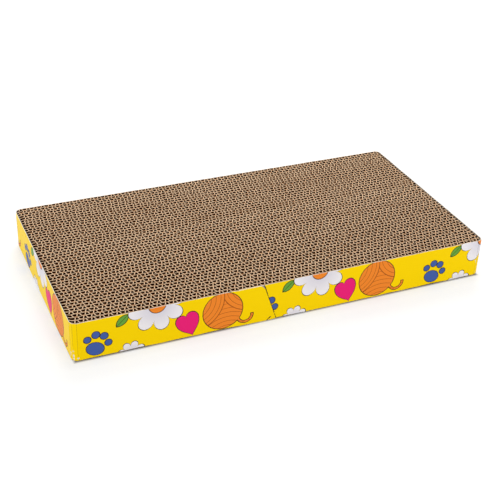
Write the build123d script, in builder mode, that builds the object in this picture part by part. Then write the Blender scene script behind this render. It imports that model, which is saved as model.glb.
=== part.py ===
from build123d import *
import math
import os

# A cat scratching pad: strips of corrugated board stand on edge, glued side by side,
# and one printed paper band is wrapped round the four sides and lapped on the front.
# Millimetres. X runs along the length, Y to the back, Z up, with the underside at Z 0.

# Strips of board
strip_length = 428.8
strip_height = 41.0
strip_count = 46
board_caliper = 4.65
liner_caliper = 0.3
medium_caliper = 0.25
flute_pitch = 25.6
flute_stagger = 0.618
bond_line = 0.03

# Glue between the strips
glue_film = 0.1
glue_margin = 3.0

# Printed band
wrap_caliper = 0.5
wrap_gap = 0.1
corner_radius = 3.0
lap_center = -23.0
lap_slant = 14.0
lap_length = 32.0
lap_film = 0.1
lap_film_margin = 2.0
joggle_gap = 0.5
joggle_length = 6.0

# The block of strips, and the curve that its corners have to clear
strip_pitch = board_caliper + glue_film
block_width = strip_count * strip_pitch - glue_film
block_radius = corner_radius - wrap_gap

# The fluted ply fills the room between the two liners of a board
core_height = board_caliper - 2 * (liner_caliper + bond_line)
flute_slope = math.atan2(core_height - medium_caliper, flute_pitch / 2)
medium_rise = medium_caliper / math.cos(flute_slope)
flute_height = core_height - medium_rise

# The band's inner and outer outlines, and the layers of its lap on the front
inner_length = strip_length + 2 * wrap_gap
inner_width = block_width + 2 * wrap_gap
outer_length = inner_length + 2 * wrap_caliper
outer_width = inner_width + 2 * wrap_caliper
panel_outside = -outer_width / 2
panel_inside = -inner_width / 2
flap_inside = panel_outside - lap_film
flap_outside = flap_inside - wrap_caliper
under_end = lap_center - lap_length
joggle_start = under_end - joggle_gap
joggle_end = joggle_start - joggle_length

os.makedirs("parts", exist_ok=True)


def ply_length(lower_face, upper_face):
    """Length of the ply between these two faces, cut square where it has to clear a round corner."""
    depth = max(block_width / 2 - max(abs(lower_face), abs(upper_face)), 0)
    reach = max(block_radius - depth, 0)
    trim = block_radius - math.sqrt(block_radius**2 - reach**2)
    return strip_length - 2 * trim


def flute_wave(x, phase):
    """Height of the zigzag ply over its lowest line, from 0 to flute_height."""
    turn = (x / flute_pitch + phase) % 1
    return flute_height * (1 - abs(2 * turn - 1))


def flute_line(length, phase):
    """Points of the zigzag from end to end: both cut ends and every fold between them."""
    first_fold = math.floor(2 * (-length / 2 / flute_pitch + phase)) + 1
    last_fold = math.ceil(2 * (length / 2 / flute_pitch + phase)) - 1
    folds = [(fold / 2 - phase) * flute_pitch for fold in range(first_fold, last_fold + 1)]
    return [(x, flute_wave(x, phase)) for x in [-length / 2, *folds, length / 2]]


# Corrugated strips, from the front of the pad to its back
for row in range(strip_count):
    front_face = -block_width / 2 + row * strip_pitch
    back_face = front_face + board_caliper
    front_liner_back = front_face + liner_caliper
    back_liner_front = back_face - liner_caliper
    fold_line = flute_line(ply_length(front_liner_back, back_liner_front), row * flute_stagger)
    lower_side = [(x, front_liner_back + bond_line + rise) for x, rise in fold_line]
    upper_side = [(x, y + medium_rise) for x, y in reversed(lower_side)]

    with BuildPart() as strip:
        with BuildSketch():
            with Locations((0, front_face + liner_caliper / 2)):
                Rectangle(ply_length(front_face, front_liner_back), liner_caliper)
            with Locations((0, back_face - liner_caliper / 2)):
                Rectangle(ply_length(back_liner_front, back_face), liner_caliper)
            with BuildLine():
                Polyline(*lower_side, *upper_side, close=True)
            make_face()
        extrude(amount=strip_height)

    strip_name = f"strip_{row + 1:02d}"
    strip.part.label = strip_name
    export_step(strip.part, f"parts/{strip_name}.step")

# Glue films, one between each strip and the next, held back from the cut edges
with BuildPart() as glue_films:
    with BuildSketch(Plane.XY.offset(glue_margin)):
        with GridLocations(strip_length, strip_pitch, 1, strip_count - 1):
            Rectangle(strip_length - 2 * glue_margin, glue_film)
    extrude(amount=strip_height - 2 * glue_margin)

glue_films.part.label = "glue_films"
export_step(glue_films.part, "parts/glue_films.step")

# Printed band: one sheet round the block, whose end steps out over its start on the front
with BuildPart() as wrap_band:
    with BuildSketch():
        RectangleRounded(outer_length, outer_width, corner_radius + wrap_caliper)
        RectangleRounded(inner_length, inner_width, corner_radius, mode=Mode.SUBTRACT)
        with Locations(((under_end + joggle_end) / 2, (panel_outside + panel_inside) / 2)):
            Rectangle(under_end - joggle_end, wrap_caliper, mode=Mode.SUBTRACT)
        with BuildLine():
            Polyline(
                (joggle_end, panel_outside),
                (joggle_end, panel_inside),
                (joggle_start, flap_inside),
                (joggle_start, flap_outside),
                close=True,
            )
        make_face()
    extrude(amount=strip_height)
    with BuildSketch(Plane.XZ.offset(-flap_inside)):
        with BuildLine():
            Polyline(
                (lap_center + lap_slant / 2, 0),
                (joggle_start, 0),
                (joggle_start, strip_height),
                (lap_center - lap_slant / 2, strip_height),
                close=True,
            )
        make_face()
    extrude(amount=wrap_caliper)

wrap_band.part.label = "wrap_band"
export_step(wrap_band.part, "parts/wrap_band.step")

# Glue under the lap, inside its slanted edge and the covered end of the sheet
with BuildPart() as lap_glue:
    with BuildSketch(Plane.XZ.offset(-panel_outside)):
        with BuildLine():
            Polyline(
                (lap_center + lap_slant / 2 - lap_film_margin, lap_film_margin),
                (under_end + lap_film_margin, lap_film_margin),
                (under_end + lap_film_margin, strip_height - lap_film_margin),
                (lap_center - lap_slant / 2 - lap_film_margin, strip_height - lap_film_margin),
                close=True,
            )
        make_face()
    extrude(amount=lap_film)

lap_glue.part.label = "lap_glue"
export_step(lap_glue.part, "parts/lap_glue.step")
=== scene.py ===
"""Looks of a cat scratching pad: strips of fluted board on edge, glued up and wrapped in a printed band."""

import logging
import math
import random
from collections.abc import Callable
from dataclasses import dataclass
from enum import Enum

import bmesh
import bpy
from bmesh.types import BMEdge, BMesh, BMFace, BMVert
from bpy.types import Material, Node, NodeSocket, NodeTree, Object
from mathutils import Matrix, Vector, noise


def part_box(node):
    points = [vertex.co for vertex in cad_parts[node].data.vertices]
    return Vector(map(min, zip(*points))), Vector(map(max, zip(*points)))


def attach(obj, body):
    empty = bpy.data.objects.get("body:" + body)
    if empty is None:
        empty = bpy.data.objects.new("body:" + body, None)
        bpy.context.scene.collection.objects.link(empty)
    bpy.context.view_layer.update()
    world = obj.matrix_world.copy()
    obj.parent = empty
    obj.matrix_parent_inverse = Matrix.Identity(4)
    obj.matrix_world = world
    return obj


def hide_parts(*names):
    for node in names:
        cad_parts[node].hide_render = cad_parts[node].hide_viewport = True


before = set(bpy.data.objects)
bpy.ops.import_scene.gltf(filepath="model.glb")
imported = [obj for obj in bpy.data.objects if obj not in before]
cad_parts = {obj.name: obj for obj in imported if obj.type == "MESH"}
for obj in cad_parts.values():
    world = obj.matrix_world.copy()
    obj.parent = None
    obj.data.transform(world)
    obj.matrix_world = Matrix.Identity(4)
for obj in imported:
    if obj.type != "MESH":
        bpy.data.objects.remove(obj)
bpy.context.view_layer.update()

MM = 0.001
BODY = "root"
PHOTO_PIXELS = 500
SENSOR_WIDTH = 36.0
CORNER_RADIUS = 5.0 * MM
FINE_DETAIL = 3.0
Colour = tuple[float, float, float]
Value = float | NodeSocket
WHITE: Colour = (1.0, 1.0, 1.0)
log = logging.getLogger("scratching_pad")

# A colour Mix node's sockets go by place, because their names repeat.
MIX_SHARE = 0
MIX_BELOW = 6
MIX_ABOVE = 7
MIX_RESULT = 2


class UnevenKind(Enum):
    """Kinds of unevenness, each with its own slice of the noise field, so that none repeats another."""

    SWAY = 0.5
    SKEW = 2.5
    RIPPLE = 4.5
    EDGE = 7.5
    WANDER = 9.5


def uneven(kind: UnevenKind, along: float, across: float) -> float:
    """Smooth noise between -1 and 1, for places in spans of the noise."""
    return noise.noise((along, across, kind.value))


class NodeBench:
    """Adds nodes to one shader tree and wires them, taking numbers and sockets alike."""

    def __init__(self, tree: NodeTree) -> None:
        """Starts on a tree."""
        self.tree = tree

    def node(self, kind: str, **settings: object) -> Node:
        """Adds one node.

        Args:
            kind: The node's type name.
            settings: Properties to set on it.

        Returns:
            The new node.
        """
        added = self.tree.nodes.new(kind)
        for name, value in settings.items():
            setattr(added, name, value)
        return added

    def wire(self, value: Value | Colour, socket: NodeSocket) -> None:
        """Links a socket to an input, or sets the input to a plain value.

        Args:
            value: The socket or the value.
            socket: The input.
        """
        if isinstance(value, NodeSocket):
            self.tree.links.new(value, socket)
        elif isinstance(value, tuple):
            socket.default_value = (*value, 1.0) if len(socket.default_value) == 4 else value
        else:
            socket.default_value = value

    def math(self, operation: str, *values: Value) -> NodeSocket:
        """Adds a Math node.

        Args:
            operation: The operation's name.
            values: Its inputs, in order.

        Returns:
            The result's socket.
        """
        added = self.node("ShaderNodeMath", operation=operation)
        for value, socket in zip(values, added.inputs):
            self.wire(value, socket)
        return added.outputs[0]

    def length(self, x: Value, y: Value) -> NodeSocket:
        """Length of the vector (x, y)."""
        return self.math("SQRT", self.math("MULTIPLY_ADD", x, x, self.math("MULTIPLY", y, y)))

    def distance(self, x: Value, y: Value, center: tuple[float, float]) -> NodeSocket:
        """Distance of (x, y) from a fixed point."""
        return self.length(self.math("SUBTRACT", x, center[0]), self.math("SUBTRACT", y, center[1]))

    def apart(self, value: Value, other: Value) -> NodeSocket:
        """How far two values are apart."""
        return self.math("ABSOLUTE", self.math("SUBTRACT", value, other))

    def ramp(self, value: Value, start: float, end: float) -> NodeSocket:
        """Maps a value to a share, held at its ends.

        Args:
            value: The value.
            start: Where the share is 0.
            end: Where it is 1.

        Returns:
            The share's socket.
        """
        added = self.node("ShaderNodeMapRange", clamp=True)
        for given, name in ((value, "Value"), (start, "From Min"), (end, "From Max")):
            self.wire(given, added.inputs[name])
        return added.outputs["Result"]

    def blend(self, share: Value, below: Value | Colour, above: Value | Colour) -> NodeSocket:
        """Mixes two colours.

        Args:
            share: How much of the upper one shows, from 0 to 1.
            below: The lower colour.
            above: The upper colour.

        Returns:
            The mixed colour's socket.
        """
        added = self.node("ShaderNodeMix", data_type="RGBA")
        for value, place in ((share, MIX_SHARE), (below, MIX_BELOW), (above, MIX_ABOVE)):
            self.wire(value, added.inputs[place])
        return added.outputs[MIX_RESULT]

    def grain(self, vector: Value, scale: float, detail: float = 2.0) -> NodeSocket:
        """Adds a noise texture.

        Args:
            vector: Where it is read.
            scale: Its features to the metre.
            detail: How many finer layers it has.

        Returns:
            A share between 0 and 1.
        """
        added = self.node("ShaderNodeTexNoise")
        self.wire(vector, added.inputs["Vector"])
        self.wire(scale, added.inputs["Scale"])
        self.wire(detail, added.inputs["Detail"])
        return added.outputs["Fac"]

    def bump(self, height: Value, depth: float) -> NodeSocket:
        """Adds a fine relief.

        Args:
            height: Its height, from 0 to 1.
            depth: Its depth in metres.

        Returns:
            The normal's socket.
        """
        added = self.node("ShaderNodeBump")
        self.wire(depth, added.inputs["Distance"])
        self.wire(height, added.inputs["Height"])
        return added.outputs["Normal"]

    def seen(self) -> NodeSocket:
        """Tells rays that show things from rays that light them.

        Returns:
            1 for rays from the camera and for those that gloss or glass sends on, or else 0.
        """
        path = self.node("ShaderNodeLightPath").outputs
        sent_on = self.math("MAXIMUM", path["Is Glossy Ray"], path["Is Transmission Ray"])
        return self.math("MAXIMUM", path["Is Camera Ray"], sent_on)

    def surface(self, colour: Value | Colour, roughness: Value, specular: float) -> Node:
        """Adds the shader and the output.

        Args:
            colour: Base colour.
            roughness: Roughness.
            specular: Specular level.

        Returns:
            The shader node, for what else it needs.
        """
        shader = self.node("ShaderNodeBsdfPrincipled")
        self.wire(colour, shader.inputs["Base Color"])
        self.wire(roughness, shader.inputs["Roughness"])
        self.wire(specular, shader.inputs["Specular IOR Level"])
        output = self.node("ShaderNodeOutputMaterial")
        self.tree.links.new(shader.outputs["BSDF"], output.inputs["Surface"])
        return shader


def new_material(name: str) -> tuple[Material, NodeBench]:
    """Starts an empty node material.

    Args:
        name: The material's name.

    Returns:
        The material and a bench on its tree.
    """
    material = bpy.data.materials.new(name)
    material.use_nodes = True
    material.node_tree.nodes.clear()
    return material, NodeBench(material.node_tree)


def new_piece(name: str, bm: BMesh, *materials: Material) -> Object:
    """Turns a bmesh into an object at the origin.

    Args:
        name: The object's name.
        bm: The shape, which is freed.
        materials: Its material slots, in order.

    Returns:
        The linked object.
    """
    mesh = bpy.data.meshes.new(name)
    bm.to_mesh(mesh)
    bm.free()
    for material in materials:
        mesh.materials.append(material)
    piece = bpy.data.objects.new(name, mesh)
    bpy.context.scene.collection.objects.link(piece)
    return piece


def seat(piece: Object, node: str) -> None:
    """Puts a piece in the place of its solid, and reports it.

    Args:
        piece: The piece.
        node: The solid that it stands for.
    """
    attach(piece, BODY)
    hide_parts(node)
    log.info("%s: %d faces", piece.name, len(piece.data.polygons))


def raise_wall(bm: BMesh, foot: list[BMEdge], rise: float) -> tuple[list[BMEdge], list[BMVert]]:
    """Raises a wall from a row of edges.

    Args:
        bm: Where the edges are.
        foot: The edges.
        rise: The wall's height.

    Returns:
        The edges and the vertices at the wall's head.
    """
    raised = bmesh.ops.extrude_edge_only(bm, edges=foot)["geom"]
    head = [part for part in raised if isinstance(part, BMEdge)]
    verts = [part for part in raised if isinstance(part, BMVert)]
    bmesh.ops.translate(bm, verts=verts, vec=(0.0, 0.0, rise))
    return head, verts


@dataclass(frozen=True)
class KraftFinish:
    """Uncoated brown board: fibrous walls in painted shade, near black and darker still deeper below the
    cut, and paler cut edges at the top and the underside.
    """

    wall_painted_shade_dark: Colour = (0.015, 0.002, 0.0002)
    wall_painted_shade_pale: Colour = (0.07, 0.015, 0.002)
    edge_dark: Colour = (0.38, 0.15, 0.045)
    edge_light: Colour = (1.0, 0.72, 0.47)
    cut_ragged: float = 0.12 * MM
    cut_full: float = 0.06 * MM
    cut_none: float = 0.192 * MM
    painted_shade_depth: float = 2.6 * MM
    painted_shade_tone: float = 0.45
    fibre_scale: float = 900.0
    fibre_share: float = 0.5
    patch_scale: float = 22.0
    patch_share: float = 0.25
    tone_share: float = 0.5
    wall_span: tuple[float, float] = (0.15, 1.0)
    edge_span: tuple[float, float] = (0.3, 0.95)
    fray: float = 2.2 * MM
    roughness: float = 0.93
    specular: float = 0.02
    relief: float = 0.08 * MM

    def material(self) -> Material:
        """Makes the board's material.

        Returns:
            The material, which reads the plies' own tone and cut attributes.
        """
        material, bench = new_material("kraft_board")
        place = bench.node("ShaderNodeTexCoord").outputs["Object"]
        height = bench.node("ShaderNodeSeparateXYZ")
        bench.wire(place, height.inputs[0])
        fibre = bench.grain(place, self.fibre_scale, FINE_DETAIL)
        patch = bench.math("MULTIPLY", bench.grain(place, self.patch_scale), self.patch_share)
        tone = bench.node("ShaderNodeAttribute", attribute_name="tone").outputs["Fac"]
        shade = bench.math("MULTIPLY_ADD", fibre, self.fibre_share, patch)
        shade = bench.math("MULTIPLY_ADD", tone, self.tone_share, shade)
        cut_share = bench.node("ShaderNodeAttribute", attribute_name="cut").outputs["Fac"]
        from_top = bench.math("MULTIPLY", bench.math("SUBTRACT", 1.0, cut_share), self.fray)
        from_cut = bench.math("MINIMUM", from_top, height.outputs["Z"])
        frayed = bench.math("MULTIPLY_ADD", fibre, self.cut_ragged, from_cut)
        # Painted shade: both wall colours are near black to stand for the shade in the cells, and the walls
        # darken further deeper below the cut.
        depth = bench.math("MULTIPLY", bench.ramp(from_cut, 0.0, self.painted_shade_depth), self.painted_shade_tone)
        paleness = bench.ramp(bench.math("SUBTRACT", shade, depth), *self.wall_span)
        wall = bench.blend(paleness, self.wall_painted_shade_dark, self.wall_painted_shade_pale)
        cut = bench.ramp(frayed, self.cut_none, self.cut_full)
        edge = bench.blend(bench.ramp(shade, *self.edge_span), self.edge_dark, self.edge_light)
        shader = bench.surface(bench.blend(cut, wall, edge), self.roughness, self.specular)
        bench.wire(bench.bump(fibre, self.relief), shader.inputs["Normal"])
        return material


@dataclass(frozen=True)
class PlainFinish:
    """A plain matt finish with a soft mottle: dried glue, or the raw paper of the band."""

    name: str
    colour: Colour
    mottle: Colour
    scale: float
    roughness: float
    specular: float

    def material(self) -> Material:
        """Makes the finish.

        Returns:
            The mottled material.
        """
        material, bench = new_material(self.name)
        place = bench.node("ShaderNodeTexCoord").outputs["Object"]
        colour = bench.blend(bench.grain(place, self.scale, FINE_DETAIL), self.colour, self.mottle)
        bench.surface(colour, self.roughness, self.specular)
        return material


DRIED_GLUE = PlainFinish(
    name="dried_glue",
    colour=(0.62, 0.47, 0.30),
    mottle=(0.50, 0.36, 0.22),
    scale=300.0,
    roughness=0.6,
    specular=0.3,
)
RAW_PAPER = PlainFinish(
    name="raw_paper",
    colour=(0.98, 0.94, 0.85),
    mottle=(0.90, 0.84, 0.72),
    scale=500.0,
    roughness=0.85,
    specular=0.2,
)


class Motif(Enum):
    """Figures that are printed on the band."""

    YARN = "yarn"
    DAISY = "daisy"
    HEART = "heart"
    PAW = "paw"
    LEAF = "leaf"


@dataclass(frozen=True)
class Figure:
    """One printed figure: where it stands along and up the sheet, its size and its turn."""

    motif: Motif
    along: float
    up: float
    size: float
    turn: float


class FigureBench(NodeBench):
    """A bench in the node group of one printed figure, with the figure's axes and line, in its size."""

    def __init__(self, motif: Motif) -> None:
        """Starts the figure's group, from X, Y and half its Line to Cover and Colour.

        Args:
            motif: The figure.
        """
        super().__init__(bpy.data.node_groups.new(f"print_{motif.value}", "ShaderNodeTree"))
        for name in ("X", "Y", "Line"):
            self.tree.interface.new_socket(name, in_out="INPUT", socket_type="NodeSocketFloat")
        self.tree.interface.new_socket("Cover", in_out="OUTPUT", socket_type="NodeSocketFloat")
        self.tree.interface.new_socket("Colour", in_out="OUTPUT", socket_type="NodeSocketColor")
        given = self.node("NodeGroupInput").outputs
        self.x = given["X"]
        self.y = given["Y"]
        self.line = given["Line"]

    def cover(self, outside: Value) -> tuple[Value, Value]:
        """Turns a distance from an outline into where a figure and its inner field lie.

        Args:
            outside: Distance from the outline, negative inside, in the figure's size.

        Returns:
            Where the figure with its outline covers the ground, and where its field is.
        """
        whole = self.math("LESS_THAN", outside, self.line)
        field = self.math("LESS_THAN", outside, self.math("MULTIPLY", self.line, -1.0))
        return whole, field

    def hand_over(self, cover: Value, colour: Value) -> None:
        """Wires the drawn figure to the group's outputs.

        Args:
            cover: Where the figure covers the ground.
            colour: Its colour.
        """
        result = self.node("NodeGroupOutput")
        self.wire(cover, result.inputs["Cover"])
        self.wire(colour, result.inputs["Colour"])


@dataclass(frozen=True)
class SheetMarks:
    """Places along the sheet, in metres, where its folds and the slanted free edge of its lap wear it, and
    where a painted shadow lies along that edge.
    """

    creases: tuple[float, ...]
    covered: float
    free: float
    slant: float
    height: float


@dataclass(frozen=True)
class PrintFinish:
    """Satin coated paper with a loose repeating print of outlined figures on a yellow ground."""

    # Inks and papers
    ground: Colour = (0.90, 0.615, 0.001)
    ink: Colour = (0.045, 0.026, 0.012)
    orange: Colour = (0.80, 0.225, 0.025)
    orange_dark: Colour = (0.30, 0.07, 0.01)
    white: Colour = (0.80, 0.77, 0.79)
    white_shade: Colour = (0.66, 0.63, 0.69)
    magenta: Colour = (0.76, 0.016, 0.17)
    blue: Colour = (0.055, 0.105, 0.34)
    green: Colour = (0.125, 0.33, 0.045)
    paper: Colour = (0.84, 0.80, 0.76)
    shadow_and_fold_dark: Colour = (0.055, 0.036, 0.010)
    torn_dark: Colour = (0.13, 0.10, 0.085)
    torn_light: Colour = (0.52, 0.47, 0.43)
    # Layout of the print
    line: float = 0.75 * MM
    repeat: float = 187.0 * MM
    start: float = 2.0 * MM
    # Wear and dark lines on the folds
    grit_scale: float = 420.0
    grit_detail: float = 4.0
    flake_scale: float = 90.0
    flake_share: float = 0.6
    wear_reach: float = 14.0 * MM
    chip_start: float = 0.56
    chip_full: float = 0.62
    knock: float = 0.24
    knock_height: float = 18.0 * MM
    knock_reach: float = 9.0 * MM
    crease_width: float = 0.35 * MM
    crease_shade: float = 0.45
    # Painted shadow and wear at the lap
    seam_shadow_reach: float = 2.88 * MM
    seam_shadow_inset: float = 0.48 * MM
    torn_corner: float = 5.5 * MM
    torn_ragged: float = 3.85 * MM
    dog_ear: float = 10.0 * MM
    dog_ear_height: float = 4.0 * MM
    dog_ear_lean: float = 1.5
    dog_ear_line: float = 1.5 * MM
    # Surface of the paper
    mottle_scale: float = 60.0
    roughness: float = 0.38
    roughness_spread: float = 0.16
    specular: float = 0.05
    relief: float = 0.12 * MM
    # One repeat of the print
    figures: tuple[Figure, ...] = (
        Figure(Motif.PAW, 29.0 * MM, 15.0 * MM, 15.5 * MM, -0.35),
        Figure(Motif.LEAF, 53.0 * MM, 34.0 * MM, 8.0 * MM, -0.8),
        Figure(Motif.DAISY, 86.0 * MM, 43.0 * MM, 28.0 * MM, 0.2),
        Figure(Motif.DAISY, 61.0 * MM, -4.0 * MM, 13.5 * MM, 0.5),
        Figure(Motif.HEART, 117.0 * MM, 12.0 * MM, 13.5 * MM, 0.3),
        Figure(Motif.YARN, 150.0 * MM, 21.5 * MM, 20.0 * MM, 0.0),
    )

    def yarn(self, bench: FigureBench) -> tuple[Value, Value]:
        """A ball of yarn: a disc with three families of wound strands, and a curled tail.

        Args:
            bench: The figure's bench.

        Returns:
            The figure's cover and its colour.
        """
        tail_center = (1.12, -0.48)
        tail_radius = 0.36
        tail_half_width = 0.07
        tail_drop = 0.42
        left_center = (-1.55, 0.75)
        left_reach = 1.62
        right_center = (1.35, 1.25)
        right_reach = 1.42
        below_center = (0.25, -2.05)
        strand_width = 0.12
        thread_lines = 0.55
        ball = bench.math("SUBTRACT", bench.length(bench.x, bench.y), 1.0)
        curl = bench.apart(bench.distance(bench.x, bench.y, tail_center), tail_radius)
        below_ball = bench.math("ADD", bench.y, tail_drop)
        tail = bench.math("MAXIMUM", bench.math("SUBTRACT", curl, tail_half_width), below_ball)
        whole, field = bench.cover(bench.math("MINIMUM", ball, tail))
        left = bench.distance(bench.x, bench.y, left_center)
        right = bench.distance(bench.x, bench.y, right_center)
        strand = bench.distance(bench.x, bench.y, below_center)
        on_left = bench.math("LESS_THAN", left, left_reach)
        on_right = bench.math("LESS_THAN", right, right_reach)
        for chosen, family in ((on_right, right), (on_left, left)):
            kept = bench.math("MULTIPLY", bench.math("SUBTRACT", 1.0, chosen), strand)
            strand = bench.math("ADD", bench.math("MULTIPLY", chosen, family), kept)
        groove = bench.math("PINGPONG", strand, strand_width)
        thread = bench.math("LESS_THAN", groove, bench.math("MULTIPLY", bench.line, thread_lines))
        left_rim = bench.math("LESS_THAN", bench.apart(left, left_reach), bench.line)
        right_rim = bench.math("LESS_THAN", bench.apart(right, right_reach), bench.line)
        right_rim = bench.math("MULTIPLY", right_rim, bench.math("SUBTRACT", 1.0, on_left))
        dark = bench.math("MAXIMUM", thread, bench.math("MAXIMUM", left_rim, right_rim))
        colour = bench.blend(dark, self.orange, self.orange_dark)
        return whole, bench.blend(field, self.ink, colour)

    def daisy(self, bench: FigureBench) -> tuple[Value, Value]:
        """A daisy: eight white petals round an orange eye.

        Args:
            bench: The figure's bench.

        Returns:
            The figure's cover and its colour.
        """
        petals = 8
        petal_root = 0.58
        petal_length = 0.42
        eye_radius = 0.3
        shade_end = 0.85
        radius = bench.length(bench.x, bench.y)
        angle = bench.math("ARCTAN2", bench.y, bench.x)
        lobes = bench.math("ABSOLUTE", bench.math("COSINE", bench.math("MULTIPLY", angle, petals / 2)))
        reach = bench.math("MULTIPLY_ADD", bench.math("SQRT", lobes), petal_length, petal_root)
        whole, field = bench.cover(bench.math("SUBTRACT", radius, reach))
        shade = bench.blend(bench.ramp(radius, eye_radius, shade_end), self.white_shade, self.white)
        eye, iris = bench.cover(bench.math("SUBTRACT", radius, eye_radius))
        petal = bench.blend(field, self.ink, shade)
        return whole, bench.blend(eye, petal, bench.blend(iris, self.ink, self.orange))

    def heart(self, bench: FigureBench) -> tuple[Value, Value]:
        """A heart with its point down.

        Args:
            bench: The figure's bench.

        Returns:
            The figure's cover and its colour.
        """
        lobe_rise = 0.62
        reach = 0.85
        raised = bench.math("MULTIPLY", bench.math("SQRT", bench.math("ABSOLUTE", bench.x)), lobe_rise)
        radius = bench.length(bench.x, bench.math("SUBTRACT", bench.y, raised))
        whole, field = bench.cover(bench.math("SUBTRACT", radius, reach))
        return whole, bench.blend(field, self.ink, self.magenta)

    def paw(self, bench: FigureBench) -> tuple[Value, Value]:
        """A paw print: one broad pad under four toes.

        Args:
            bench: The figure's bench.

        Returns:
            The figure's cover and its colour.
        """
        pad_breadth = 1.25
        pad_drop = 0.45
        pad_radius = 0.56
        toes = {(0.66, 0.16): 0.23, (0.26, 0.56): 0.25}
        lifted = bench.math("MULTIPLY_ADD", bench.y, pad_breadth, pad_drop)
        nearest = bench.math("SUBTRACT", bench.length(bench.x, lifted), pad_radius)
        side = bench.math("ABSOLUTE", bench.x)
        for center, radius in toes.items():
            toe = bench.math("SUBTRACT", bench.distance(side, bench.y, center), radius)
            nearest = bench.math("MINIMUM", nearest, toe)
        whole, field = bench.cover(nearest)
        return whole, bench.blend(field, self.ink, self.blue)

    def leaf(self, bench: FigureBench) -> tuple[Value, Value]:
        """A pointed leaf with its mid vein.

        Args:
            bench: The figure's bench.

        Returns:
            The figure's cover and its colour.
        """
        flank_center = (-0.75, 0.0)
        flank_radius = 1.25
        vein_lines = 0.6
        side = bench.math("ABSOLUTE", bench.x)
        flank = bench.math("SUBTRACT", bench.distance(side, bench.y, flank_center), flank_radius)
        whole, field = bench.cover(flank)
        vein = bench.math("LESS_THAN", side, bench.math("MULTIPLY", bench.line, vein_lines))
        return whole, bench.blend(field, self.ink, bench.blend(vein, self.green, self.ink))

    def figure_group(self, motif: Motif) -> NodeTree:
        """Makes the node group that draws one kind of figure.

        Args:
            motif: The figure.

        Returns:
            A group from X, Y and Line to Cover and Colour.
        """
        bench = FigureBench(motif)
        draw = getattr(self, motif.value)
        bench.hand_over(*draw(bench))
        return bench.tree

    def printed(self, bench: NodeBench, along: Value, up: Value) -> NodeSocket:
        """Lays every figure on the ground, the later ones on top.

        Args:
            bench: Where the nodes go.
            along: Metres along the sheet.
            up: Metres up the sheet.

        Returns:
            The printed colour.
        """
        groups = {motif: self.figure_group(motif) for motif in Motif}
        colour = self.ground
        for figure in self.figures:
            shift = bench.math("SUBTRACT", along, figure.along)
            across = bench.math("WRAP", shift, self.repeat / 2, -self.repeat / 2)
            rise = bench.math("SUBTRACT", up, figure.up)
            cosine = math.cos(figure.turn) / figure.size
            sine = math.sin(figure.turn) / figure.size
            x = bench.math("MULTIPLY_ADD", across, cosine, bench.math("MULTIPLY", rise, sine))
            y = bench.math("MULTIPLY_ADD", rise, cosine, bench.math("MULTIPLY", across, -sine))
            drawn = bench.node("ShaderNodeGroup", node_tree=groups[figure.motif])
            bench.wire(x, drawn.inputs["X"])
            bench.wire(y, drawn.inputs["Y"])
            bench.wire(self.line / 2 / figure.size, drawn.inputs["Line"])
            colour = bench.blend(drawn.outputs["Cover"], colour, drawn.outputs["Colour"])
        return colour

    def worn(self, bench: NodeBench, sheet: Value, along: Value, up: Value, marks: SheetMarks,
             colour: Value) -> NodeSocket:
        """Wears the print: chips and dark lines on the folds, a knocked foot, a torn lap corner, and a
        painted shadow along the lap's free edge.

        Args:
            bench: Where the nodes go.
            sheet: Place on the sheet.
            along: Metres along the sheet.
            up: Metres up the sheet.
            marks: Where the sheet folds and laps.
            colour: The clean print.

        Returns:
            The worn print's colour.
        """
        grit = bench.grain(sheet, self.grit_scale, self.grit_detail)
        to_crease = bench.apart(along, marks.creases[0])
        for crease in marks.creases[1:]:
            to_crease = bench.math("MINIMUM", to_crease, bench.apart(along, crease))
        flakes = bench.grain(sheet, self.flake_scale, FINE_DETAIL)
        fine_flakes = bench.math("MULTIPLY", grit, 1 - self.flake_share)
        flaked = bench.math("MULTIPLY_ADD", flakes, self.flake_share, fine_flakes)
        # The middle fold of the last corner is knocked at its foot.
        to_last = bench.apart(along, marks.creases[-2])
        knocked = bench.math("MULTIPLY", bench.ramp(up, self.knock_height, 0.0),
                             bench.ramp(to_last, self.knock_reach, 0.0))
        rubbed = bench.math("MULTIPLY_ADD", knocked, self.knock, flaked)
        chip = bench.math("SUBTRACT", rubbed, bench.math("DIVIDE", to_crease, self.wear_reach))
        colour = bench.blend(bench.ramp(chip, self.chip_start, self.chip_full), colour, self.paper)
        # Each fold gets a thin, broken darker line.
        folded = bench.math("LESS_THAN", to_crease, bench.math("MULTIPLY", grit, self.crease_width))
        colour = bench.blend(bench.math("MULTIPLY", folded, self.crease_shade), colour, self.shadow_and_fold_dark)
        # The lap's free edge leans, so what wears there, and the painted shadow along it, is measured from
        # the leaning line.
        lean = bench.math("MULTIPLY_ADD", up, -marks.slant / marks.height, 0.5 * marks.slant)
        past = bench.math("SUBTRACT", bench.math("SUBTRACT", along, marks.covered), lean)
        # A thin painted shadow runs along the lap's free edge, where the flap's edge would shade the sheet
        # under it.
        seam_shadow_width = bench.math("MULTIPLY_ADD", grit, self.seam_shadow_reach, -self.seam_shadow_inset)
        seam_shadow = bench.math("LESS_THAN", bench.math("ABSOLUTE", past), seam_shadow_width)
        colour = bench.blend(seam_shadow, colour, self.shadow_and_fold_dark)
        before = bench.math("ADD", bench.math("SUBTRACT", marks.free, along), lean)
        from_tip = bench.math("ADD", before, bench.math("SUBTRACT", marks.height, up))
        ragged = bench.math("MULTIPLY_ADD", grit, self.torn_ragged, from_tip)
        torn = bench.math("LESS_THAN", ragged, self.torn_corner)
        colour = bench.blend(torn, colour, bench.blend(grit, self.torn_dark, self.torn_light))
        leaned = bench.math("MULTIPLY_ADD", up, self.dog_ear_lean, before)
        fold_width = bench.math("MULTIPLY", grit, self.dog_ear_line)
        fold = bench.math("LESS_THAN", bench.apart(leaned, self.dog_ear), fold_width)
        fold = bench.math("MULTIPLY", fold, bench.math("LESS_THAN", up, self.dog_ear_height))
        return bench.blend(fold, colour, self.shadow_and_fold_dark)

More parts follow.
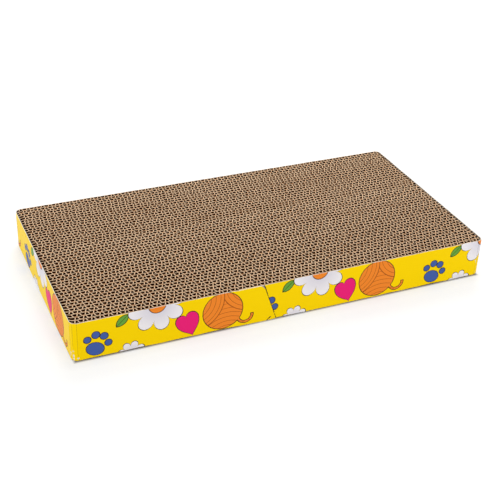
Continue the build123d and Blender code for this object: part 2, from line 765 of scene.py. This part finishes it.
    def material(self, marks: SheetMarks) -> Material:
        """Makes the print.

        Args:
            marks: Where the sheet folds and laps.

        Returns:
            The material, which reads the sheet's own UV map.
        """
        material, bench = new_material("printed_band")
        sheet = bench.node("ShaderNodeUVMap", uv_map="sheet").outputs["UV"]
        axes = bench.node("ShaderNodeSeparateXYZ")
        bench.wire(sheet, axes.inputs[0])
        along, up = axes.outputs["X"], axes.outputs["Y"]
        colour = self.printed(bench, bench.math("ADD", along, self.start), up)
        colour = self.worn(bench, sheet, along, up, marks, colour)
        mottle = bench.grain(sheet, self.mottle_scale, FINE_DETAIL)
        smoothest = self.roughness - self.roughness_spread / 2
        roughness = bench.math("MULTIPLY_ADD", mottle, self.roughness_spread, smoothest)
        shader = bench.surface(colour, roughness, self.specular)
        bench.wire(bench.bump(mottle, self.relief), shader.inputs["Normal"])
        return material


@dataclass
class StripPack:
    """The corrugated strips on edge, with the glue between them."""

    low: Vector
    high: Vector
    count: int
    board: Material
    glue: Material
    # Plies and glue
    glue_film: float = 0.1 * MM
    glue_margin: float = 3.0 * MM
    liner: float = 0.33 * MM
    liner_tone: float = 1.15
    medium: float = 0.75 * MM
    medium_tone: float = 1.5
    bond_depth: float = 0.04 * MM
    tone_spread: float = 0.3
    crest_painted_shade: float = 1.8
    crest_sharpness: int = 6
    # Flutes
    flute_pitch: float = 7.6 * MM
    flute_steepness: float = 3.0
    steps_per_flute: int = 16
    liner_steps: int = 150
    # Frayed edges, and rows that waver
    fray: float = KraftFinish.fray
    fray_drop: float = 0.3 * MM
    fray_lean: float = 0.14 * MM
    sway: float = 1.5 * MM
    sway_span: float = 120.0 * MM
    sway_rows: float = 3.0
    wander: float = 0.25 * MM
    wander_span: float = 26.0 * MM
    wander_stride: float = 5.3
    skew: float = 0.5 * MM
    skew_span: float = 15.0 * MM
    skew_stride: float = 3.7
    # Ends of the strips, and the sheets that they were cut from
    corner_radius: float = CORNER_RADIUS
    squeeze_depth: float = 13.0 * MM
    end_gap: float = 0.3 * MM
    open_end: float = 2.2 * MM
    sheet_change: float = 0.2
    phase_step: float = 0.25
    seed: int = 7

    def __post_init__(self) -> None:
        """Works out the block's spans and starts its random draws."""
        self.half_length = self.high.x - self.end_gap
        self.height = self.high.z
        self.draw = random.Random(self.seed)

    def glue_line(self, index: int, x: float) -> float:
        """Where the wavering line between two strips runs.

        Args:
            index: The line, from 0 at the front of the pad.
            x: Place along the pad.

        Returns:
            The line's y at x.
        """
        share = index / self.count
        front = self.low.y - self.glue_film / 2
        back = self.high.y + self.glue_film / 2
        freedom = math.sqrt(math.sin(math.pi * share)) if 0 < index < self.count else 0.0
        sway = self.sway * uneven(UnevenKind.SWAY, x / self.sway_span, share * self.sway_rows)
        wander = self.wander * uneven(UnevenKind.WANDER, x / self.wander_span, index * self.wander_stride)
        return self.squeezed(x, front + share * (back - front) + freedom * (sway + wander))

    def squeezed(self, x: float, y: float) -> float:
        """Pushes a place inwards where the strips' ends are crushed into the round corners.

        Args:
            x: Place along the pad.
            y: Place across it.

        Returns:
            The new place across the pad.
        """
        reach = max(abs(x) - (self.high.x - self.corner_radius), 0.0)
        inset = self.corner_radius - math.sqrt(max(self.corner_radius**2 - reach**2, 0.0))
        front = math.exp((self.low.y - y) / self.squeeze_depth)
        back = math.exp((y - self.high.y) / self.squeeze_depth)
        return y + inset * (front - back)

    def flute(self, x: float, phase: float, row: int) -> float:
        """Height of the fluted ply between its liners.

        Args:
            x: Place along the strip.
            phase: Where the strip's flutes start, in flutes.
            row: The strip.

        Returns:
            From 0 on the front liner to 1 on the back liner.
        """
        drift = self.skew * uneven(UnevenKind.SKEW, x / self.skew_span, row * self.skew_stride)
        turn = math.sin(2 * math.pi * ((x + drift) / self.flute_pitch + phase))
        return 0.5 + math.tanh(self.flute_steepness * turn) / (2 * math.tanh(self.flute_steepness))

    def at_crest(self, x: float, phase: float, row: int) -> float:
        """How near the fluted ply is to a crest, where painted shade darkens it, from 0 to 1."""
        return abs(2 * self.flute(x, phase, row) - 1) ** self.crest_sharpness

    def add_ply(self, bm: BMesh, reach: float, steps: int, thickness: float,
                line: Callable[[float], float], bottom: float, top: float,
                tone: Callable[[float], float] | None = None) -> None:
        """Adds one upright ply of board along a line, cut and frayed at the top, or one film of glue.

        Args:
            bm: Where the ply goes.
            reach: How far it runs each way along the pad.
            steps: How many straight steps its line has.
            thickness: Its thickness.
            line: The y of its middle for each x.
            bottom: Height of its lower edge.
            top: Height of its upper edge.
            tone: How pale the board is for each x, or None for glue.
        """
        ply = bmesh.new()
        tones = ply.verts.layers.float.new("tone")
        cuts = ply.verts.layers.float.new("cut")
        ends = [ply.verts.new((side * reach, 0.0, bottom)) for side in (-1, 1)]
        edge = ply.edges.new(ends)
        bmesh.ops.subdivide_edges(ply, edges=[edge], cuts=steps - 1)
        for vert in ply.verts:
            if tone:
                vert[tones] = tone(vert.co.x)
            vert.co.y = line(vert.co.x) + thickness / 2
        head, _ = raise_wall(ply, ply.edges[:], top - bottom - self.fray)
        _, head_verts = raise_wall(ply, head, self.fray)
        if tone:
            for vert in head_verts:
                vert[cuts] = 1.0
                vert.co.z -= self.fray_drop * self.draw.random() ** 2
                vert.co.y += self.fray_lean * self.draw.uniform(-1.0, 1.0)
        bmesh.ops.solidify(ply, geom=ply.faces[:], thickness=thickness)
        mesh = bpy.data.meshes.new("ply")
        ply.to_mesh(mesh)
        ply.free()
        bm.from_mesh(mesh)
        bpy.data.meshes.remove(mesh)

    def build_strip(self, row: int, phase: float) -> Object:
        """Builds one strip: front liner, fluted ply and back liner.

        Args:
            row: The strip, from 0 at the front.
            phase: Where its flutes start, in flutes.

        Returns:
            The strip's object.
        """
        inset = self.glue_film / 2 + self.liner
        gap = inset + self.medium / 2 - self.bond_depth

        def front_liner(x: float) -> float:
            """Middle of the front liner."""
            return self.glue_line(row, x) + inset - self.liner / 2

        def back_liner(x: float) -> float:
            """Middle of the back liner."""
            return self.glue_line(row + 1, x) - inset + self.liner / 2

        def fluted_ply(x: float) -> float:
            """Middle of the fluted ply.

            Args:
                x: Place along the strip.

            Returns:
                The ply's y at x.
            """
            front = self.glue_line(row, x) + gap
            back = self.glue_line(row + 1, x) - gap
            return front + (back - front) * self.flute(x, phase, row)

        bm = bmesh.new()
        flutes = round(2 * self.half_length / self.flute_pitch)
        fluted_reach = self.half_length - self.open_end
        # The fluted ply is painted darker near its crests, where it meets the liners: painted shade.
        for reach, steps, thickness, paleness, shade, line in (
            (self.half_length, self.liner_steps, self.liner, self.liner_tone, 0.0, front_liner),
            (fluted_reach, flutes * self.steps_per_flute, self.medium, self.medium_tone, self.crest_painted_shade,
             fluted_ply),
            (self.half_length, self.liner_steps, self.liner, self.liner_tone, 0.0, back_liner),
        ):
            unshaded_tone = paleness + self.draw.uniform(-self.tone_spread, self.tone_spread)
            self.add_ply(bm, reach, steps, thickness, line, 0.0, self.height,
                         lambda x, unshaded_tone=unshaded_tone, shade=shade: unshaded_tone - shade * self.at_crest(x, phase, row))
        return new_piece(f"board_strip_{row + 1:02d}", bm, self.board)

    def build_glue(self) -> Object:
        """Builds the glue films, which follow the lines between the strips.

        Returns:
            The films' object.
        """
        bm = bmesh.new()
        for index in range(1, self.count):
            self.add_ply(bm, self.half_length, self.liner_steps, self.glue_film,
                         lambda x, index=index: self.glue_line(index, x),
                         self.glue_margin, self.height - self.glue_margin)
        return new_piece("glue_between_strips", bm, self.glue)

    def build(self) -> None:
        """Builds every strip and the glue, each in the place of its solid."""
        phase = self.draw.random()
        for row in range(self.count):
            new_sheet = self.draw.random() < self.sheet_change
            phase = self.draw.random() if new_sheet else phase + self.draw.gauss(0.0, self.phase_step)
            seat(self.build_strip(row, phase), f"strip_{row + 1:02d}")
        seat(self.build_glue(), "glue_films")


@dataclass
class PaperBand:
    """The printed sheet round the four sides, lapped over its own start on the front."""

    low: Vector
    high: Vector
    edge: Material
    finish: PrintFinish
    # Sheet and lap
    caliper: float = 0.5 * MM
    corner_radius: float = CORNER_RADIUS
    corner_flats: int = 2
    lap_center: float = -23.0 * MM
    lap_slant: float = 14.0 * MM
    lap_length: float = 32.0 * MM
    joggle_gap: float = 0.5 * MM
    joggle_length: float = 6.0 * MM
    # Mesh and unevenness
    step: float = 5.0 * MM
    rises: int = 8
    ripple: float = 0.22 * MM
    ripple_span: float = 38.0 * MM
    foot_gap: float = 1.4 * MM
    head_drop: float = 0.5 * MM
    edge_span: float = 17.0 * MM
    # Printed side, and its map for baking
    sharp: float = 0.35
    rim_slope: float = 0.7
    core_inset: float = 15.0 * MM
    facing: float = 0.5
    bake_rows: int = 5
    bake_width: float = 0.94
    bake_start: float = 0.02
    bake_gap: float = 0.01
    bare_width: float = 0.96
    bare_start: float = 0.9

    def __post_init__(self) -> None:
        """Works out the sheet's faces and the ends of its lap."""
        self.height = self.high.z
        self.inner = Vector((self.high.x - self.caliper, self.high.y - self.caliper, 0.0))
        self.flap_inside = self.low.y + self.caliper
        self.joggle_start = self.lap_center - self.lap_length - self.joggle_gap
        self.creases: list[float] = []
        self.run = 0.0

    def go(self, bm: BMesh, tip: BMVert, x: float, y: float) -> BMVert:
        """Carries the sheet's line straight on to a point.

        Args:
            bm: The line so far.
            tip: Its last vertex.
            x: The point's x.
            y: The point's y.

        Returns:
            The new last vertex.
        """
        layer = bm.verts.layers.float["run"]
        added = bmesh.ops.extrude_vert_indiv(bm, verts=[tip])["verts"][0]
        added.co.x = x
        added.co.y = y
        self.run += (added.co - tip.co).length
        added[layer] = self.run
        return added

    def turn(self, bm: BMesh, tip: BMVert, center: tuple[float, float]) -> BMVert:
        """Folds the sheet's line round a corner of the pad, in a few flats with creases between them.

        Args:
            bm: The line so far.
            tip: Its last vertex.
            center: Middle of the corner's curve.

        Returns:
            The new last vertex.
        """
        layer = bm.verts.layers.float["run"]
        known = set(bm.verts)
        spun = bmesh.ops.spin(bm, geom=[tip], cent=(*center, 0.0), axis=(0.0, 0.0, 1.0),
                              angle=math.pi / 2, steps=self.corner_flats, use_duplicate=False)
        flat = 2 * self.corner_radius * math.sin(math.pi / 4 / self.corner_flats)
        self.creases.append(self.run)
        for vert in bm.verts:
            if vert not in known:
                self.run += flat
                vert[layer] = self.run
                self.creases.append(self.run)
        return spun["geom_last"][0]

    def sheet_line(self) -> BMesh:
        """Walks the sheet's inner line from its covered start, round the pad, to the free end of the lap.

        Returns:
            The line as edges at height 0, with the distance walked on each vertex.
        """
        bm = bmesh.new()
        layer = bm.verts.layers.float.new("run")
        tip = bm.verts.new((self.lap_center - self.lap_length, -self.inner.y, 0.0))
        tip[layer] = 0.0
        straight = Vector((self.inner.x - self.corner_radius, self.inner.y - self.corner_radius, 0.0))
        for toward_x, toward_y, at_x, at_y in (
            (straight.x, -self.inner.y, straight.x, -straight.y),
            (self.inner.x, straight.y, straight.x, straight.y),
            (-straight.x, self.inner.y, -straight.x, straight.y),
            (-self.inner.x, -straight.y, -straight.x, -straight.y),
        ):
            tip = self.go(bm, tip, toward_x, toward_y)
            tip = self.turn(bm, tip, (at_x, at_y))
        tip = self.go(bm, tip, self.joggle_start - self.joggle_length, -self.inner.y)
        tip = self.go(bm, tip, self.joggle_start, self.flap_inside)
        self.go(bm, tip, self.lap_center, self.flap_inside)
        while long := [part for part in bm.edges if part.calc_length() > self.step]:
            bmesh.ops.subdivide_edges(bm, edges=long, cuts=1)
        return bm

    def shape(self) -> BMesh:
        """Raises the line into a sheet, slants its free end, makes it uneven and gives it thickness.

        Returns:
            The sheet, with the distance along it on each vertex.
        """
        bm = self.sheet_line()
        layer = bm.verts.layers.float["run"]
        head = bm.edges[:]
        for _ in range(self.rises):
            head, _ = raise_wall(bm, head, self.height / self.rises)
        flap_run = self.run - (self.lap_center - self.joggle_start)
        bm.normal_update()
        for vert in bm.verts:
            past = (vert[layer] - flap_run) / (self.run - flap_run)
            if past > 0:
                slide = past * self.lap_slant * (0.5 - vert.co.z / self.height)
                vert.co.x += slide
                vert[layer] += slide
        for vert in bm.verts:
            wave = uneven(UnevenKind.RIPPLE, vert[layer] / self.ripple_span, vert.co.z / self.ripple_span)
            vert.co -= vert.normal * self.ripple * max(wave, 0.0)
            share = vert.co.z / self.height
            waver = 0.5 + 0.5 * uneven(UnevenKind.EDGE, vert[layer] / self.edge_span, share)
            vert.co.z += waver * (self.foot_gap * (1 - share) - self.head_drop * share)
        bmesh.ops.solidify(bm, geom=bm.faces[:], thickness=self.caliper)
        return bm

    def is_outside(self, face: BMFace) -> bool:
        """Tells the printed side of the sheet from its rims and its back.

        Args:
            face: A face of the sheet.

        Returns:
            Whether the face is on the printed side.
        """
        if abs(face.normal.z) > self.rim_slope:
            return False
        middle = face.calc_center_median()
        core_x = self.inner.x - self.core_inset
        core_y = self.inner.y - self.core_inset
        outward = Vector((middle.x - max(-core_x, min(core_x, middle.x)),
                          middle.y - max(-core_y, min(core_y, middle.y)), 0.0))
        return face.normal.dot(outward.normalized()) > self.facing

    def lay_maps(self, bm: BMesh) -> None:
        """Gives the sheet its printing map, in metres, and a map that folds it into rows for baking.

        Args:
            bm: The sheet.
        """
        layer = bm.verts.layers.float["run"]
        sheet = bm.loops.layers.uv.new("sheet")
        rows = bm.loops.layers.uv.new("OFBake")
        row_run = self.run / self.bake_rows
        scale = self.bake_width / row_run
        row_rise = self.height * scale + self.bake_gap
        bm.normal_update()
        for edge in bm.edges:
            edge.smooth = edge.calc_face_angle(0.0) < self.sharp
        for face in bm.faces:
            outside = self.is_outside(face)
            face.material_index = 0 if outside else 1
            face.smooth = outside
            middle = sum(vert[layer] for vert in face.verts) / len(face.verts)
            row = min(int(middle / row_run), self.bake_rows - 1)
            for loop in face.loops:
                run = loop.vert[layer]
                up = loop.vert.co.z
                loop[sheet].uv = (run, up)
                if outside:
                    loop[rows].uv = (self.bake_start + (run - row * row_run) * scale,
                                     self.bake_gap + row * row_rise + up * scale)
                else:
                    share = run / (self.run + self.lap_slant)
                    loop[rows].uv = (self.bake_start + self.bare_width * share, self.bare_start + up)

    def build(self) -> None:
        """Builds the band in the place of its solid."""
        bm = self.shape()
        self.lay_maps(bm)
        marks = SheetMarks(creases=tuple(self.creases), covered=self.lap_length, free=self.run,
                           slant=self.lap_slant, height=self.height)
        band = new_piece("paper_band", bm, self.finish.material(marks), self.edge)
        seat(band, "wrap_band")
        log.info("the band's sheet: %.0f mm long", self.run / MM)


@dataclass(frozen=True)
class Lamp:
    """One soft studio lamp, aimed at the pad."""

    name: str
    place: tuple[float, float, float]
    width: float
    height: float
    watts: float

    def hang(self) -> None:
        """Adds the lamp to the scene."""
        light = bpy.data.lights.new(self.name, "AREA")
        light.shape = "RECTANGLE"
        light.size = self.width
        light.size_y = self.height
        light.energy = self.watts
        lamp = bpy.data.objects.new(self.name, light)
        lamp.location = self.place
        lamp.rotation_euler = Vector(self.place).to_track_quat("Z", "Y").to_euler()
        bpy.context.scene.collection.objects.link(lamp)


@dataclass
class Studio:
    """Pale floor, soft light and the photograph's camera."""

    pad_high: Vector
    # Camera
    azimuth: float = math.radians(-24.545)
    elevation: float = math.radians(31.147)
    roll: float = math.radians(2.420)
    distance: float = 1.09915
    aim_right: float = 4.370 * MM
    aim_up: float = 9.046 * MM
    focal_pixels: float = 1050.33
    clip_start: float = 10.0 * MM
    # Floor and light
    floor_size: float = 12.0
    floor_colour: Colour = (0.35, 0.35, 0.35)
    floor_roughness: float = 0.9
    painted_contact_reach: float = 3.0 * MM
    painted_halo_reach: float = 14.0 * MM
    painted_halo_shade: float = 0.13
    fill: float = 0.4
    floor_lift: float = 0.76
    far_lift: float = 0.16
    near_field: float = 0.7
    far_field: float = 2.2
    lamps: tuple[Lamp, ...] = (
        Lamp("top_lamp", (0.55, 1.15, 1.1), 1.3, 1.3, 26.0),
        Lamp("front_lamp", (0.4, -1.6, 0.2), 2.0, 0.3, 19.0),
        Lamp("left_lamp", (-1.6, 0.0, 0.2), 2.0, 0.3, 16.5),
    )

    def set_camera(self) -> None:
        """Stands the camera where the photograph was taken from."""
        back = Vector((math.sin(self.azimuth) * math.cos(self.elevation),
                       -math.cos(self.azimuth) * math.cos(self.elevation),
                       math.sin(self.elevation)))
        right = Vector((0.0, 0.0, 1.0)).cross(back).normalized()
        level = Matrix((right, back.cross(right), back)).transposed()
        turned = level @ Matrix.Rotation(self.roll, 3, "Z")
        lens = bpy.data.cameras.new("photo_camera")
        lens.sensor_width = SENSOR_WIDTH
        lens.lens = self.focal_pixels / PHOTO_PIXELS * SENSOR_WIDTH
        lens.clip_start = self.clip_start
        camera = bpy.data.objects.new("photo_camera", lens)
        place = turned @ Vector((self.aim_right, self.aim_up, self.distance))
        camera.matrix_world = Matrix.Translation(place) @ turned.to_4x4()
        bpy.context.scene.collection.objects.link(camera)
        bpy.context.scene.camera = camera

    def lay_floor(self) -> None:
        """Lays a pale floor that reads white in the picture, takes the pad's shadow, and has painted shadow
        along the pad's front and back feet and round the pad.
        """
        bm = bmesh.new()
        bmesh.ops.create_grid(bm, x_segments=1, y_segments=1, size=self.floor_size / 2)
        material, bench = new_material("studio_floor")
        shader = bench.surface(self.floor_colour, self.floor_roughness, 0.0)
        axes = bench.node("ShaderNodeSeparateXYZ")
        bench.wire(bench.node("ShaderNodeTexCoord").outputs["Object"], axes.inputs[0])
        beyond_x = bench.math("SUBTRACT", bench.math("ABSOLUTE", axes.outputs["X"]), self.pad_high.x)
        beyond_y = bench.math("SUBTRACT", bench.math("ABSOLUTE", axes.outputs["Y"]), self.pad_high.y)
        # The glow stops under the pad. It fades in over a few millimetres from the front and back feet, a
        # painted contact shadow, and is dimmed within a halo round the pad, a painted shadow.
        clear = bench.math("MAXIMUM", bench.ramp(beyond_y, 0.0, self.painted_contact_reach),
                           bench.ramp(beyond_x, -self.painted_contact_reach, 0.0))
        outside = bench.length(bench.math("MAXIMUM", beyond_x, 0.0), bench.math("MAXIMUM", beyond_y, 0.0))
        painted_halo_share = bench.math("MULTIPLY_ADD", bench.ramp(outside, self.painted_halo_reach, 0.0), -self.painted_halo_shade, 1.0)
        bench.wire(WHITE, shader.inputs["Emission Color"])
        far = bench.math("MULTIPLY", bench.ramp(outside, self.near_field, self.far_field), self.far_lift)
        glow = bench.math("MULTIPLY_ADD", painted_halo_share, self.floor_lift, far)
        lift = bench.math("MULTIPLY", bench.math("MULTIPLY", clear, bench.seen()), glow)
        bench.wire(lift, shader.inputs["Emission Strength"])
        floor = new_piece("studio_floor", bm, material)

    def light_world(self) -> None:
        """Lights the pad evenly from all round, and shows white behind it."""
        world = bpy.data.worlds.new("studio_world")
        bpy.context.scene.world = world
        world.use_nodes = True
        world.node_tree.nodes.clear()
        bench = NodeBench(world.node_tree)
        strength = bench.math("MULTIPLY_ADD", bench.seen(), 1.0 - self.fill, self.fill)
        background = bench.node("ShaderNodeBackground")
        bench.wire(WHITE, background.inputs["Color"])
        bench.wire(strength, background.inputs["Strength"])
        output = bench.node("ShaderNodeOutputWorld")
        bench.tree.links.new(background.outputs[0], output.inputs["Surface"])

    def build(self) -> None:
        """Sets up the whole studio."""
        bpy.context.scene.view_settings.view_transform = "Standard"
        self.set_camera()
        self.lay_floor()
        self.light_world()
        for lamp in self.lamps:
            lamp.hang()


def dress_lap_glue(glue: Material) -> None:
    """Gives the glue under the lap its finish.

    Args:
        glue: The finish.
    """
    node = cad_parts["lap_glue"]
    node.data.materials.clear()
    node.data.materials.append(glue)
    log.info("lap_glue: dressed")


def main() -> None:
    """Builds the pad's pieces and the studio."""
    logging.basicConfig(level=logging.INFO, format="%(name)s %(message)s")
    rows = sorted(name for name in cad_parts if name.startswith("strip_"))
    boxes = [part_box(name) for name in rows]
    block_low = Vector([min(low[axis] for low, _ in boxes) for axis in range(3)])
    block_high = Vector([max(high[axis] for _, high in boxes) for axis in range(3)])
    band_low, band_high = (Vector(corner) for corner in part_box("wrap_band"))
    glue = DRIED_GLUE.material()
    edge = RAW_PAPER.material()
    board = KraftFinish().material()
    StripPack(block_low, block_high, len(rows), board, glue).build()
    PaperBand(band_low, band_high, edge, PrintFinish()).build()
    dress_lap_glue(glue)
    Studio(band_high).build()


if __name__ == "__main__":
    main()
